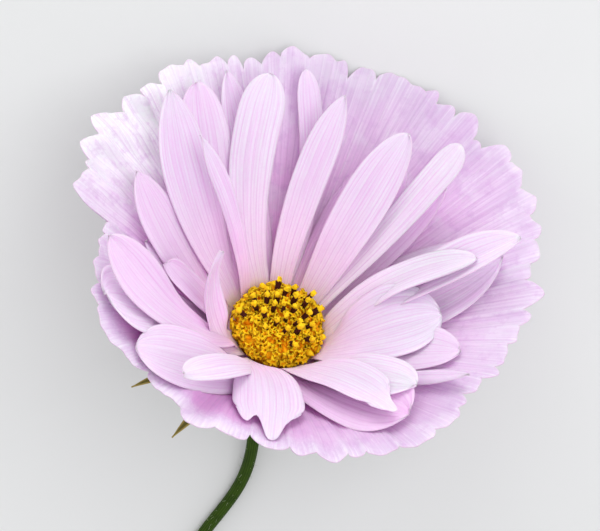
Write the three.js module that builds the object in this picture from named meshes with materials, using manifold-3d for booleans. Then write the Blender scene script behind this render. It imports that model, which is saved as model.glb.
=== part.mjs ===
// Cosmos flower with a scalloped cup of eight joined outer petals, a crown of loose inner
// petals, a domed yellow disc, two rings of green bracts and a cut stem.
// Lengths are in millimetres and angles in degrees.
//
// Each piece of the head is worked out in the flower's own frame: +Z is the axis of the bloom
// and runs out of the cup, and a place on it is given by an azimuth, a distance from the axis
// and a height. Azimuth 0 is +Y and azimuth 90 is +X. The finished flower is then laid down:
// its axis leans over, two lobes of the rim touch the ground, and the stem runs along it.

import * as THREE from 'three';
import { mergeVertices } from 'three/addons/utils/BufferGeometryUtils.js';
import Module from 'manifold-3d';

const wasm = await Module();
wasm.setup();

// Driving sizes
const LEAN = 53.5;              // how far the axis of the bloom leans from upright as it lies
const GAP = 0.3;                // clearance between neighbouring pieces

const STEM_RADIUS = 1.1;
const STEM_SECTION_SIDES = 10;
const STEM_TOP = -9;            // height at which the receptacle has narrowed to the stem
const STEM_STRAIGHT = 57;       // length that runs along the ground
const STEM_SWAY = 4;            // sideways bow just below the head
const STEM_END_SHIFT = -6;      // sideways place of the cut end

const BOSS_RADIUS = 4.3;        // the receptacle inside the rings of bracts and petals
const RING_BORE = BOSS_RADIUS + GAP;
const SHOULDER_RADIUS = 5.3;

const DISC_RADIUS = 6.7;
const DISC_BOTTOM = -1.7;
const DISC_SIDE_TOP = 0.7;
const DISC_DOME_TOP = 3.4;
const FLORETS = 66;
const ANTHER_FLORETS = 34;      // the ones nearest the middle that carry an anther column
const FLORET_SPREAD = 6.9;
const FLORET_FAN = 0.7;         // share of the dome's slope that a floret leans with
const GOLDEN_ANGLE = 137.508;

const PETAL_THICKNESS = 0.62;
const CLAW_WIDTH = 1.15;        // width of an inner petal where it is rooted
const CLAW_HEIGHT = -1.4;       // height of the petal roots
const PETAL_HOLLOW = 1.1;       // how hollow a blade is across; at 1 it follows the cone it lies on
const INNER_RING = 7.35;        // distance of the first ring of roots from the axis
const OUTER_RING = 8.4;         // and of the second ring

const CUP_THICKNESS = 0.62;
const CUP_FLOOR = -2.3;         // height of the flat ring that the cup stands on
const CUP_FOOT_RADIUS = 9.4;
const CUP_FOOT_HEIGHT = -1.6;
const CUP_RISE_FOOT = 48;       // elevation of the cup's wall at its foot
const CUP_RISE_RIM = 34;        // and at its rim
const CUP_RISE_LENGTH = 40;
const CUP_PLEAT = 0.55;         // depth of the folds that end in the notches
const CUP_ROWS = [0.2, 0.45, 0.68, 0.85, 1];

const INNER_BRACT_LENGTH = 11;
const INNER_BRACT_LOBES = 8;
const INNER_BRACT_RISE = 44;
const INNER_BRACT_FLOOR = -3.2; // height of the green ring under the cup
const OUTER_BRACT_THICKNESS = 0.6;
const OUTER_BRACT_HALF_WIDTH = 1.75;
const OUTER_BRACT_TIP = 0.35;   // half width at the tip
const OUTER_BRACT_HEIGHT = -4.2;
const OUTER_BRACT_RING = 2;     // width of the ring that the bracts grow from

// Rim of the cup: azimuth of each notch, reach of the wall at that notch, and reach of the
// lobe that follows it.
const RIM = [
  [2, 38.8, 41.0], [14.5, 40.8, 41.8], [18.3, 39.8, 41.2], [23.8, 39.9, 42.3], [31.2, 39.2, 39.6],
  [34.3, 39.1, 42.6], [41.8, 41.1, 42.1], [49, 40.3, 41.9], [57, 39.7, 40.7], [65, 39.2, 39.3],
  [70, 37.4, 36.9], [76, 36.5, 39.6], [85, 36.3, 37.2], [95, 35.8, 36.2], [103, 35.5, 36.5],
  [108, 34.5, 35.3], [115, 34.0, 35.6], [120, 35.6, 37.4], [130, 37.2, 38.8], [141, 37.9, 38.8],
  [148, 36.1, 38.3], [158, 37.3, 38.3], [169, 36.3, 36.9], [177, 33.8, 35.6], [186, 34.7, 37.4],
  [195, 32.5, 32.5], [206, 29.1, 31.8], [214, 32.2, 33.5], [226, 32.2, 33.4], [234, 32.1, 33.5],
  [243, 32.6, 32.8], [250, 31.3, 32.4], [259, 30.9, 38.6], [265, 37.9, 38.4], [269, 37.2, 37.8],
  [272, 37.2, 40.9], [279.5, 38.8, 41.3], [284.5, 39.1, 39.8], [289.5, 37.9, 39.4], [297, 36.9, 39.5],
  [301, 39.1, 40.7], [310, 40.2, 40.5], [315, 38.8, 39.6], [322.5, 38.2, 39.2], [326.5, 37.1, 38.9],
  [332, 38.1, 39.9], [337, 39.3, 41.0], [344.5, 39.3, 40.7], [351, 39.8, 40.2], [355, 37.6, 40.3],
];

// Where the cup rolls its rim outward: azimuth of the middle, half width of the stretch, and
// how far the rim rolls.
const ROLLED_RIM = { azimuth: 208, halfWidth: 55, roll: 1.8 };

// Inner petals. Root azimuth and ring, the azimuth each one heads for, its length and width,
// its elevation at the root, in the middle and at the tip, how pointed its end is from 0 to 1,
// and any turn of its blade.
const INNER_PETALS = [
  { root: 302, ring: INNER_RING, heading: 279, length: 37.5, width: 5, rise: [69, 64, 59],
    turn: 30, point: 0.9 },
  { root: 330, ring: INNER_RING, heading: 327, length: 40, width: 8.8, rise: [65, 60, 51], point: 0.1 },
  { root: 354, ring: INNER_RING, heading: 355, length: 37, width: 7.5, rise: [60, 55, 50], point: 0.6 },
  { root: 18, ring: INNER_RING, heading: 23, length: 36.5, width: 8.2, rise: [65, 60, 52], point: 0.2 },
  { root: 40, ring: INNER_RING, heading: 36, length: 40.5, width: 7.6, rise: [59, 55, 49], point: 0.2 },
  { root: 72, ring: INNER_RING, heading: 77, length: 35.5, width: 9.5, rise: [61, 56, 46], point: 0.1 },
  { root: 100, ring: INNER_RING, heading: 106, length: 34.5, width: 12, rise: [70, 64, 49], point: 0.1 },
  { root: 140, ring: INNER_RING, heading: 138, length: 36, width: 8.8, rise: [66, 59, 32], point: 0.1 },
  { root: 182, ring: INNER_RING, heading: 170, length: 39, width: 12, rise: [62, 54, 8], point: 0 },
  { root: 207, ring: INNER_RING, heading: 195, length: 44, width: 9.6, rise: [66, 55, 10], point: 0.2 },
  { root: 232.5, ring: INNER_RING, heading: 285, length: 21.5, width: 6.1, rise: [68, 70, 72], point: 0.6 },
  { root: 247, ring: INNER_RING, heading: 243, length: 38.5, width: 12, rise: [59, 54, 43], point: 0.2 },
  { root: 285, ring: OUTER_RING, heading: 267, length: 33, width: 9, rise: [54, 50, 46], point: 0.4 },
  { root: 297, ring: OUTER_RING, heading: 295, length: 41.5, width: 8, rise: [62, 56, 49], point: 0.6 },
  { root: 312, ring: OUTER_RING, heading: 311, length: 38, width: 8.5, rise: [56, 50, 45], point: 0.1 },
  { root: 327, ring: OUTER_RING, heading: 317, length: 38.5, width: 6.5, rise: [49, 45, 42], point: 0.2 },
  { root: 344, ring: OUTER_RING, heading: 344, length: 38.5, width: 8.5, rise: [53, 48, 43], point: 0.1 },
  { root: 6, ring: OUTER_RING, heading: 10, length: 22.5, width: 5, rise: [56, 51, 48],
    turn: 55, point: 0.5 },
  { root: 25, ring: OUTER_RING, heading: 26, length: 29.5, width: 7, rise: [58, 53, 48], point: 0.3 },
  { root: 44, ring: OUTER_RING, heading: 40, length: 29, width: 7, rise: [51, 48, 45], point: 0.3 },
  { root: 73, ring: OUTER_RING, heading: 67, length: 40.5, width: 7.6, rise: [58, 52, 43], point: 0.3 },
  { root: 60, ring: OUTER_RING, heading: 72, length: 35, width: 7, rise: [48, 44, 39], point: 0.3 },
  { root: 102, ring: OUTER_RING, heading: 122, length: 40.5, width: 9.2, rise: [62, 57, 46], point: 0.1 },
  { root: 117, ring: OUTER_RING, heading: 109, length: 35.5, width: 5.6, rise: [49, 46, 41], point: 0.9 },
  { root: 132, ring: OUTER_RING, heading: 126, length: 36.5, width: 9.6, rise: [61, 55, 38], point: 0.1 },
  { root: 152, ring: OUTER_RING, heading: 124, length: 36, width: 10.6, rise: [50, 46, 31], point: 0.2 },
  { root: 213, ring: OUTER_RING, heading: 212, length: 38.5, width: 9.2, rise: [62, 53, 19], point: 0.1 },
  { root: 240, ring: OUTER_RING, heading: 219, length: 36.5, width: 8, rise: [48, 45, 40], point: 0.1 },
  { root: 251.5, ring: OUTER_RING, heading: 252, length: 22, width: 6.3, rise: [59, 53, 48], point: 0.4 },
  { root: 270, ring: OUTER_RING, heading: 255, length: 24, width: 7, rise: [49, 45, 41], point: 0.3 },
];

// Outer bracts: azimuth, length, and elevation at the root and at the tip.
const OUTER_BRACTS = [
  [22, 18, 0, 66], [68, 18, 0, 50], [115, 18, 0, 20], [160, 16.5, 0, 30],
  [203, 20.5, 0, -12], [227, 21, 2, -6], [283, 18, 0, 34], [335, 18, 0, 66],
];

const radians = THREE.MathUtils.degToRad;
const clamp = THREE.MathUtils.clamp;
const lerp = THREE.MathUtils.lerp;

// A point of the flower's own frame.
function at(azimuth, radius, height) {
  const a = radians(azimuth);
  return new THREE.Vector3(radius * Math.sin(a), radius * Math.cos(a), height);
}

// The value of a smooth curve through three control values, at q from 0 to 1.
function bend([first, middle, last], q) {
  return (1 - q) ** 2 * first + 2 * q * (1 - q) * middle + q ** 2 * last;
}

// Thin closed solid round a sheet of points. The rows run from root to tip. The thickness lies
// half on each side, and both faces are split along the same diagonals. A ring joins its last
// column to its first.
function sheetSolid(rows, thickness, ring = false) {
  const rowCount = rows.length;
  const columns = rows[0].length;
  const column = (j) => (ring ? (j + columns) % columns : clamp(j, 0, columns - 1));
  const points = { upper: [], lower: [] };
  for (let i = 0; i < rowCount; i += 1) {
    for (let j = 0; j < columns; j += 1) {
      const along = rows[Math.min(i + 1, rowCount - 1)][j].clone().sub(rows[Math.max(i - 1, 0)][j]);
      const across = rows[i][column(j + 1)].clone().sub(rows[i][column(j - 1)]);
      const normal = across.cross(along).setLength(thickness / 2);
      points.upper.push(rows[i][j].clone().add(normal));
      points.lower.push(rows[i][j].clone().sub(normal));
    }
  }
  const count = points.upper.length;
  const top = (i, j) => i * columns + column(j);
  const under = (i, j) => count + top(i, j);
  const index = [];
  const spans = ring ? columns : columns - 1;
  for (let i = 0; i < rowCount - 1; i += 1) {
    for (let j = 0; j < spans; j += 1) {
      index.push(top(i, j), top(i + 1, j + 1), top(i + 1, j), top(i, j), top(i, j + 1), top(i + 1, j + 1));
      index.push(under(i, j), under(i + 1, j), under(i + 1, j + 1));
      index.push(under(i, j), under(i + 1, j + 1), under(i, j + 1));
    }
    if (!ring) {
      const k = columns - 1;
      index.push(top(i, 0), top(i + 1, 0), under(i + 1, 0), top(i, 0), under(i + 1, 0), under(i, 0));
      index.push(top(i + 1, k), top(i, k), under(i, k), top(i + 1, k), under(i, k), under(i + 1, k));
    }
  }
  const last = rowCount - 1;
  for (let j = 0; j < spans; j += 1) {
    index.push(top(0, j + 1), top(0, j), under(0, j), top(0, j + 1), under(0, j), under(0, j + 1));
    index.push(top(last, j), top(last, j + 1), under(last, j + 1));
    index.push(top(last, j), under(last, j + 1), under(last, j));
  }
  const geometry = new THREE.BufferGeometry();
  const corners = [...points.upper, ...points.lower].flatMap((p) => p.toArray());
  geometry.setAttribute('position', new THREE.Float32BufferAttribute(corners, 3));
  geometry.setIndex(index);
  return geometry;
}

// A geometry as a closed solid for joining and cutting, and back.
function toSolid(geometry) {
  const bare = geometry.clone();
  bare.deleteAttribute('normal');
  bare.deleteAttribute('uv');
  const merged = mergeVertices(bare, 1e-4);
  const mesh = new wasm.Mesh({
    numProp: 3,
    vertProperties: new Float32Array(merged.attributes.position.array),
    triVerts: new Uint32Array(merged.index.array),
  });
  return new wasm.Manifold(mesh);
}

function toGeometry(solid) {
  const mesh = solid.getMesh();
  const geometry = new THREE.BufferGeometry();
  geometry.setAttribute('position', new THREE.Float32BufferAttribute(mesh.vertProperties, 3));
  geometry.setIndex([...mesh.triVerts]);
  return geometry;
}

function joined(geometries) {
  return toGeometry(geometries.map(toSolid).reduce((whole, next) => whole.add(next)));
}

// A turned solid about the flower's axis from a list of [radius, height] that starts and ends
// on the axis, lowest point first.
function turned(profile, segments) {
  const lathe = new THREE.LatheGeometry(profile.map(([r, h]) => new THREE.Vector2(r, h)), segments);
  return lathe.rotateX(Math.PI / 2);
}

// Width of a petal at t from 0 at the root to 1 at the tip: it widens along a quarter wave from
// the claw to the shoulder, and then closes in a round or a pointed end.
function petalWidth(t, width, point) {
  const shoulder = 0.54;
  const opening = Math.sin((Math.PI / 2) * clamp(t / shoulder, 0, 1)) ** 1.9;
  const closing = clamp((t - shoulder) / (1 - shoulder), 0, 1);
  const end = Math.max(1 - closing ** 2.4, 0) ** lerp(0.4, 0.95, point);
  return lerp(CLAW_WIDTH, width, opening) * Math.max(end, lerp(0.32, 0.12, point));
}

// Sheet of an inner petal. Its midline leaves the root straight out and swings to its heading,
// at an elevation that changes smoothly. The blade is hollow across, about as much as the
// cone that it lies on, and it may be turned about the midline.
function petalRows({ root, ring, heading, length, width, rise, turn = 0, point }) {
  const rowCount = 7;
  const columnCount = 4;
  const steps = 48;
  const swing = ((heading - root + 540) % 360) - 180;
  const direction = (q) => root + swing * THREE.MathUtils.smoothstep(q, 0, 0.35);
  const rows = [];
  const place = at(root, ring, CLAW_HEIGHT);
  let reached = 0;
  for (let i = 0; i <= rowCount; i += 1) {
    const t = (1 - Math.cos((Math.PI * i) / rowCount)) / 2;
    const target = Math.round(t * steps);
    for (; reached < target; reached += 1) {
      const q = (reached + 0.5) / steps;
      const e = radians(bend(rise, q));
      place.add(at(direction(q), Math.cos(e), Math.sin(e)).multiplyScalar(length / steps));
    }
    const elevation = radians(bend(rise, t));
    const turning = radians(turn) * Math.sin((Math.PI / 2) * t);
    const side = at(direction(t) + 90, 1, 0);
    const inward = at(direction(t), -Math.sin(elevation), Math.cos(elevation));
    const across = side.clone().multiplyScalar(Math.cos(turning)).addScaledVector(inward, Math.sin(turning));
    const face = inward.clone().multiplyScalar(Math.cos(turning)).addScaledVector(side, -Math.sin(turning));
    const half = petalWidth(t, width, point) / 2;
    const hollow = PETAL_HOLLOW * Math.sin(elevation) / (2 * Math.hypot(place.x, place.y));
    const row = [];
    for (let j = 0; j <= columnCount; j += 1) {
      const u = (2 * j) / columnCount - 1;
      const offset = u * half;
      row.push(place.clone().addScaledVector(across, offset).addScaledVector(face, hollow * offset ** 2));
    }
    rows.push(row);
  }
  return rows;
}

// One column of the cup's wall for every azimuth that its rim needs: the notches, and the arch
// of each lobe between two notches.
function rimColumns() {
  const columns = [];
  const widest = 2.6;
  RIM.forEach(([azimuth, notch, lobe], n) => {
    const [nextAzimuth, nextNotch] = RIM[(n + 1) % RIM.length];
    const span = (nextAzimuth - azimuth + 360) % 360;
    const count = Math.max(2, Math.round(span / widest));
    for (let k = 0; k < count; k += 1) {
      const x = k / count;
      const arch = Math.sqrt(4 * x * (1 - x));
      const reach = lerp(lerp(notch, nextNotch, x), lobe, arch);
      columns.push({ azimuth: azimuth + span * x, reach, arch });
    }
  });
  return columns;
}

// A point of the cup's wall, at v from 0 at the foot to 1 at the rim. The wall's section is an
// arc of a circle, pushed in and out by the pleats and outward where the rim rolls.
function cupPoint({ azimuth, reach, arch }, v) {
  const away = Math.abs(((azimuth - ROLLED_RIM.azimuth + 540) % 360) - 180) / ROLLED_RIM.halfWidth;
  const rolled = away < 1 ? Math.cos((Math.PI / 2) * away) ** 2 : 0;
  const foot = radians(CUP_RISE_FOOT);
  const bending = radians(CUP_RISE_FOOT - CUP_RISE_RIM) / CUP_RISE_LENGTH;
  const elevation = foot - bending * reach * v;
  const radius = CUP_FOOT_RADIUS + (Math.sin(foot) - Math.sin(elevation)) / bending;
  const height = CUP_FOOT_HEIGHT + (Math.cos(elevation) - Math.cos(foot)) / bending;
  const pleat = CUP_PLEAT * (0.6 - arch) * v ** 1.4;
  const roll = ROLLED_RIM.roll * rolled * clamp((v - 0.7) / 0.3, 0, 1) ** 2;
  const out = roll - pleat;
  return at(azimuth, radius + out * Math.sin(elevation), height - out * Math.cos(elevation));
}

function outerCup() {
  const columns = rimColumns();
  const flat = [RING_BORE, CUP_FOOT_RADIUS - 1].map((r) => columns.map((c) => at(c.azimuth, r, CUP_FLOOR)));
  const wall = CUP_ROWS.map((v) => columns.map((c) => cupPoint(c, v)));
  const foot = columns.map((c) => at(c.azimuth, CUP_FOOT_RADIUS, CUP_FOOT_HEIGHT));
  return sheetSolid([...flat, foot, ...wall], CUP_THICKNESS, true);
}

// A disc floret: a slim tube that widens into a five-sided mouth, or, with its anther column
// out, a longer tube with a round head.
function floret(withAnthers) {
  const sides = 5;
  const profile = withAnthers
    ? [[0, -1], [0.42, -1], [0.34, 1.7], [0.58, 2.1], [0, 2.7]]
    : [[0, -1], [0.36, -1], [0.7, 1.4], [0, 1]];
  return turned(profile, sides);
}

function discFlorets() {
  const dome = [[0, DISC_BOTTOM], [DISC_RADIUS, DISC_BOTTOM], [DISC_RADIUS, DISC_SIDE_TOP]];
  for (let k = 1; k < 6; k += 1) {
    const a = (Math.PI / 2) * (k / 6);
    dome.push([DISC_RADIUS * Math.cos(a), lerp(DISC_SIDE_TOP, DISC_DOME_TOP, Math.sin(a))]);
  }
  dome.push([0, DISC_DOME_TOP]);
  const pieces = [turned(dome, 24)];
  const up = new THREE.Vector3(0, 0, 1);
  for (let k = 0; k < FLORETS; k += 1) {
    const share = (k + 0.5) / FLORETS;
    const radius = FLORET_SPREAD * Math.sqrt(share);
    const angle = Math.asin(clamp(radius / (DISC_RADIUS * 1.06), 0, 1));
    const height = lerp(DISC_SIDE_TOP, DISC_DOME_TOP, Math.cos(angle));
    const azimuth = GOLDEN_ANGLE * k;
    const direction = at(azimuth, Math.sin(angle * FLORET_FAN), Math.cos(angle * FLORET_FAN));
    const place = at(azimuth, Math.min(radius, DISC_RADIUS - 0.2), height);
    const turn = new THREE.Quaternion().setFromUnitVectors(up, direction);
    pieces.push(floret(k < ANTHER_FLORETS).applyQuaternion(turn).translate(...place.toArray()));
  }
  return joined(pieces);
}

// Cup of eight joined inner bracts under the petals.
function innerBracts() {
  const columns = 6 * INNER_BRACT_LOBES;
  const foot = CUP_FOOT_RADIUS;
  const rise = radians(INNER_BRACT_RISE);
  const rows = [[RING_BORE, 0], [foot - 0.4, 0], [foot + 0.1, 0.06], [foot + 0.1, 0.5], [foot + 0.1, 1]];
  const sheet = rows.map(([radius, v]) => {
    const row = [];
    for (let j = 0; j < columns; j += 1) {
      const azimuth = (360 * j) / columns;
      const lobe = Math.abs(Math.cos(radians(azimuth * INNER_BRACT_LOBES / 2))) ** 0.7;
      const length = INNER_BRACT_LENGTH * lerp(0.45, 1, lobe) * v;
      row.push(at(azimuth, radius + length * Math.cos(rise), INNER_BRACT_FLOOR + length * Math.sin(rise)));
    }
    return row;
  });
  return sheetSolid(sheet, CUP_THICKNESS, true);
}

// One narrow pointed bract, keeled along its middle.
function bractBlade([azimuth, length, riseRoot, riseTip]) {
  const rows = [];
  const count = 5;
  const keel = 0.3;
  const place = at(azimuth, RING_BORE + 0.8, OUTER_BRACT_HEIGHT);
  for (let i = 0; i <= count; i += 1) {
    const t = i / count;
    const half = Math.max(OUTER_BRACT_HALF_WIDTH * (1 - t ** 1.6), OUTER_BRACT_TIP);
    const e = radians(lerp(riseRoot, riseTip, t ** 1.5));
    rows.push([-1, 0, 1].map((u) => place.clone()
      .add(at(azimuth + 90, u * half, 0))
      .add(at(azimuth, -Math.sin(e), Math.cos(e)).multiplyScalar(keel * t * half * u * u))));
    const next = radians(lerp(riseRoot, riseTip, ((i + 0.5) / count) ** 1.5));
    place.add(at(azimuth, Math.cos(next), Math.sin(next)).multiplyScalar(length / count));
  }
  return sheetSolid(rows, OUTER_BRACT_THICKNESS);
}

// Green ring under the cup with its eight spreading outer bracts.
function outerBracts() {
  const outer = RING_BORE + OUTER_BRACT_RING;
  const low = OUTER_BRACT_HEIGHT - 0.2;
  const high = OUTER_BRACT_HEIGHT + 0.4;
  const section = [[RING_BORE, low], [outer, low], [outer, high], [RING_BORE, high], [RING_BORE, low]];
  return joined([turned(section, 32), ...OUTER_BRACTS.map(bractBlade)]);
}

// The stem with the receptacle at its top. It leaves the head along the axis, bends until it
// runs level, and lies on the ground at the given height.
function stem(groundHeight) {
  const lean = radians(LEAN);
  const drop = STEM_TOP * Math.cos(lean) - groundHeight - STEM_RADIUS;
  const bendRadius = drop / (1 - Math.sin(lean));
  const turning = Math.PI / 2 - lean;
  const bendLength = bendRadius * turning;
  const total = bendLength + STEM_STRAIGHT;
  const steps = 26;
  const level = new THREE.Vector3(0, -Math.cos(lean), -Math.sin(lean));
  const bent = (a) => new THREE.Vector3(
    0, bendRadius * (Math.cos(a) - 1), STEM_TOP - bendRadius * Math.sin(a));
  const points = [new THREE.Vector3(0, 0, STEM_TOP + 2.5)];
  for (let i = 0; i <= steps; i += 1) {
    const s = (total * i) / steps;
    const point = bent(Math.min(s, bendLength) / bendRadius);
    point.addScaledVector(level, Math.max(s - bendLength, 0));
    const q = s / total;
    point.x = STEM_SWAY * Math.sin(Math.PI * clamp(q / 0.5, 0, 1)) ** 2;
    point.x += STEM_END_SHIFT * clamp((q - 0.3) / 0.7, 0, 1) ** 1.9;
    points.push(point);
  }
  const section = new THREE.Shape();
  section.absarc(0, 0, STEM_RADIUS, 0, 2 * Math.PI);
  const tube = new THREE.ExtrudeGeometry(section, {
    curveSegments: STEM_SECTION_SIDES / 2,
    steps,
    extrudePath: new THREE.CatmullRomCurve3(points),
  });
  const receptacle = turned([
    [0, STEM_TOP], [STEM_RADIUS, STEM_TOP], [1.5, -7.6], [2.6, -6.2], [SHOULDER_RADIUS, -5.1],
    [SHOULDER_RADIUS, -4.7], [BOSS_RADIUS, -4.7], [BOSS_RADIUS, -2], [0, -2],
  ], 24);
  return joined([receptacle, tube]);
}

// Finishes
function petalFinish(color) {
  return new THREE.MeshStandardMaterial({ color, roughness: 0.62, metalness: 0, side: THREE.DoubleSide });
}
const innerPetalFinish = petalFinish(0xf3d8f0);
const cupFinish = petalFinish(0xe6cbe8);
const discFinish = new THREE.MeshStandardMaterial({ color: 0xf5b30f, roughness: 0.7, metalness: 0 });
const innerBractFinish = new THREE.MeshStandardMaterial({ color: 0xa9a86a, roughness: 0.6, metalness: 0 });
const greenFinish = new THREE.MeshStandardMaterial({ color: 0x4d6b2f, roughness: 0.6, metalness: 0 });

function piece(name, geometry, material) {
  const mesh = new THREE.Mesh(geometry, material);
  mesh.name = name;
  return mesh;
}

// The head, in its own frame
const cup = piece('outer_cup', outerCup(), cupFinish);
const bloom = new THREE.Group();
bloom.rotation.x = -radians(LEAN);
bloom.add(cup);
bloom.add(piece('disc_florets', discFlorets(), discFinish));
bloom.add(piece('inner_bracts', innerBracts(), innerBractFinish));
bloom.add(piece('outer_bracts', outerBracts(), greenFinish));
INNER_PETALS.forEach((petal, n) => {
  const name = `inner_petal_${String(n + 1).padStart(2, '0')}`;
  bloom.add(piece(name, sheetSolid(petalRows(petal), PETAL_THICKNESS), innerPetalFinish));
});

// The ground touches the lowest lobes of the rim, and the stem comes down to it.
bloom.updateMatrixWorld(true);
const ground = new THREE.Box3().setFromObject(cup, true).min.z;
bloom.add(piece('stem', stem(ground), greenFinish));

// Origin at the middle of the bounding box's underside
const flower = new THREE.Group();
flower.add(bloom);
flower.updateMatrixWorld(true);
const bounds = new THREE.Box3().setFromObject(flower, true);
const middle = bounds.getCenter(new THREE.Vector3());
bloom.position.set(-middle.x, -middle.y, -bounds.min.z);

export default flower;
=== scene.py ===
# %% [markdown]
# # A cosmos flower, picked and laid down
#
# The flower is a cup of eight joined, pleated petals with a scalloped rim. Thirty loose petals
# stand in the cup, round a domed yellow disc. Green bracts and a cut stem carry it. The packed
# model gives the place of the head and the nodes' names, and this script grows a finer surface
# for each node. The petals are fitted to the photograph, so many lie some millimetres from their
# solids, and some cross. Each shape is a formula on a grid, so that a reader can change one
# number and see what it does.

# %% Load the frame
import math

import bpy
import numpy as np
from mathutils import Matrix, Vector


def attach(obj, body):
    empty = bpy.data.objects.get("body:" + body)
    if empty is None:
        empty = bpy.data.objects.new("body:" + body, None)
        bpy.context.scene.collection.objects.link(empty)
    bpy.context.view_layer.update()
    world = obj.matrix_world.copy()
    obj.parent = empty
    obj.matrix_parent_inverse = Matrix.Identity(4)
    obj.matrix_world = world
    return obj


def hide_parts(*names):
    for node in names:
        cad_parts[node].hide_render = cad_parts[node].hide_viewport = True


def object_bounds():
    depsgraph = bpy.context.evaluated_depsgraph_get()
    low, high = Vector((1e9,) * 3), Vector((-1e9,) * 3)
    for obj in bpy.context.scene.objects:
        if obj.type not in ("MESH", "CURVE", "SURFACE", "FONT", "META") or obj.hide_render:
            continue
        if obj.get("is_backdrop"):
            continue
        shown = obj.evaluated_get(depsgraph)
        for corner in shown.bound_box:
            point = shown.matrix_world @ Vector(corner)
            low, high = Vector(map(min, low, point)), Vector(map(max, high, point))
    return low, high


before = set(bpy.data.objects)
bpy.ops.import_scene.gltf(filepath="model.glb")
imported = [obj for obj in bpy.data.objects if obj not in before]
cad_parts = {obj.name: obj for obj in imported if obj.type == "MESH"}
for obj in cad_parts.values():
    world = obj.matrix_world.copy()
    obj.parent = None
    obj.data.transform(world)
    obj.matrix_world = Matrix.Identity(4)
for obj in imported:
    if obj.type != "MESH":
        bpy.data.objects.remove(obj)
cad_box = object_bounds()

MM = 0.001
scene = bpy.context.scene
print("CAD box in mm:", [[round(c / MM, 1) for c in corner] for corner in cad_box])

# %% [markdown]
# ## The flower's own frame
#
# A flower is simplest to describe round its own axis, which leans over as the flower lies. All
# shapes are made in that frame, in millimetres, and one turn and one shift lay them down. The
# middle of the frame is found from the disc, because its underside is flat, round and centred
# on the axis.

# %% Find the head of the flower
LEAN = math.radians(53.5)
DISC_UNDERSIDE = -1.7

upright = np.array(Matrix.Rotation(-LEAN, 3, "X"))
disc_points = np.array([v.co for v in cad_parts["disc_florets"].data.vertices]) / MM @ upright
flat = disc_points[disc_points[:, 2] < disc_points[:, 2].min() + 0.01]
middle = (flat.min(axis=0) + flat.max(axis=0)) / 2
head = upright @ (middle - [0, 0, DISC_UNDERSIDE])
print("head of the flower at, in mm:", head.round(2))


def on_axis(azimuth, radius, height):
    """A point of the flower's frame from its azimuth (degrees, 0 is +Y, 90 is +X), its distance
    from the axis and its height."""
    a = np.radians(azimuth)
    return np.stack(np.broadcast_arrays(radius * np.sin(a), radius * np.cos(a), height), axis=-1)


# %% [markdown]
# ## The camera
#
# The photograph looks into the cup from 35 degrees off its axis and about 42 cm away, and the
# axis runs 20 degrees clockwise of the picture's upright. The camera keeps that view of the
# flower, so it looks down on the flower as it lies. A small shift puts the head where the
# photograph has it.

# %% Camera
VIEW_OFF_AXIS = math.radians(35)
VIEW_ROLL = math.radians(20)
VIEW_DISTANCE = 420 * MM
PIXELS_PER_MM = 5.95
IMAGE_WIDTH, IMAGE_HEIGHT = 600, 531
HEAD_PIXEL = (277, 328)

lay_down = Matrix.Rotation(-LEAN, 3, "X")
sideways = Vector((1, 0, 0))
far_side = Vector((0, math.cos(VIEW_OFF_AXIS), math.sin(VIEW_OFF_AXIS)))
to_camera = lay_down @ Vector((0, -math.sin(VIEW_OFF_AXIS), math.cos(VIEW_OFF_AXIS)))
picture_right = lay_down @ (sideways * math.cos(VIEW_ROLL) + far_side * math.sin(VIEW_ROLL))
picture_up = lay_down @ (far_side * math.cos(VIEW_ROLL) - sideways * math.sin(VIEW_ROLL))
head_place = Vector(head) * MM

camera = bpy.data.objects.new("camera", bpy.data.cameras.new("camera"))
scene.collection.objects.link(camera)
aim = Matrix((picture_right, picture_up, to_camera)).transposed().to_4x4()
camera.matrix_world = Matrix.Translation(head_place + to_camera * VIEW_DISTANCE) @ aim
camera.data.sensor_width = 36
camera.data.lens = 36 * PIXELS_PER_MM * VIEW_DISTANCE / MM / IMAGE_WIDTH
camera.data.shift_x = (IMAGE_WIDTH / 2 - HEAD_PIXEL[0]) / IMAGE_WIDTH
camera.data.shift_y = (HEAD_PIXEL[1] - IMAGE_HEIGHT / 2) / IMAGE_WIDTH
camera.data.clip_start = 0.01
scene.camera = camera
print("lens:", round(camera.data.lens, 1), "mm")

# %% [markdown]
# ## Floor and light
#
# A plain pale floor, and soft light as under a bright overcast sky: one broad lamp from the
# side that is up in the photograph, which lights the near petals, one from near the camera,
# which reaches down into the cup, and a pale world that fills the folds. The petals are so pale
# that hard light would burn out their veins.

# %% Floor and lights
FLOOR_SIZE = 4.0
LAMP_DISTANCE = 0.9

half = FLOOR_SIZE / 2
floor_mesh = bpy.data.meshes.new("floor")
floor_mesh.from_pydata([(-half, -half, 0), (half, -half, 0), (half, half, 0), (-half, half, 0)], [],
                       [(0, 1, 2, 3)])
floor = bpy.data.objects.new("floor", floor_mesh)
scene.collection.objects.link(floor)
floor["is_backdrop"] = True


def soft_lamp(name, direction, size, power, color):
    """A square area lamp, placed from the head along a direction and turned to face the head."""
    light = bpy.data.lights.new(name, "AREA")
    light.size = size
    light.energy = power
    light.color = color
    lamp = bpy.data.objects.new(name, light)
    scene.collection.objects.link(lamp)
    away = direction.normalized()
    lamp.location = head_place + away * LAMP_DISTANCE
    lamp.rotation_euler = away.to_track_quat("Z", "Y").to_euler()


soft_lamp("sky", picture_up * 1.4 + to_camera * 0.8 - picture_right * 0.1, size=0.5, power=3.0,
          color=(0.99, 0.99, 1.0))
soft_lamp("fill", to_camera + picture_right * 0.35, size=0.6, power=3.1, color=(0.98, 0.985, 1.0))

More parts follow.
